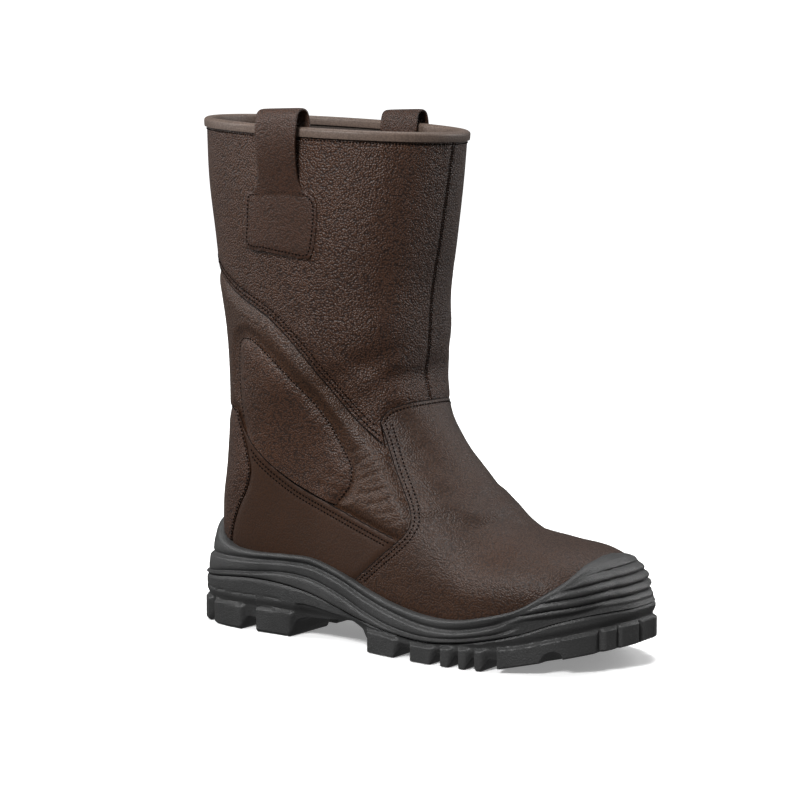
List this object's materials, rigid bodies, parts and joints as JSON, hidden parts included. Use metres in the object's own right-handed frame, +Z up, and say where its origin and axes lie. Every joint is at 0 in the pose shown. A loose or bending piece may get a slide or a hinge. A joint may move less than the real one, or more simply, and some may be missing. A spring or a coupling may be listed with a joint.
{
  "type": "safety boot",
  "caption": "Pull-on leather safety boot with a tall open shaft, pull loops, padded ankle leaves and a lugged sole whose ribbed bumper wraps the toe.",
  "frame": {"origin": "on the floor under the middle of the boot's bounding box", "axes": "+X towards the toe, +Y towards the inner (medial) side, +Z up from the floor"},
  "size_m": [0.3048, 0.1434, 0.3235],
  "materials": {
    "pebbled_leather": "pebbled full grain, satin",
    "vamp_leather": "pebbled full grain, satin",
    "smooth_leather": "smooth, satin",
    "wall_leather": "fine grain outside, lined inside",
    "pad_leather": "fine grain over padding",
    "binding_leather": "soft rolled edge, matt",
    "strap_leather": "fine grain strap, matt",
    "sole_wall": "matt moulded with fine texture",
    "tread": "matt moulded with fine texture",
    "footbed_cloth": "matt cloth"
  },
  "bodies": {
    "root": {"outsole": "tread", "midsole": "sole_wall", "insole": "footbed_cloth", "upper": "wall_leather", "shaft": "pebbled_leather", "vamp": "vamp_leather", "heel_counter": "pebbled_leather", "quarter_lateral": "smooth_leather", "quarter_medial": "smooth_leather", "ankle_pad_lateral": "pad_leather", "ankle_pad_medial": "pad_leather", "collar_binding": "binding_leather", "pull_loop_lateral": "strap_leather", "pull_loop_medial": "strap_leather"}
  },
  "joints": []
}
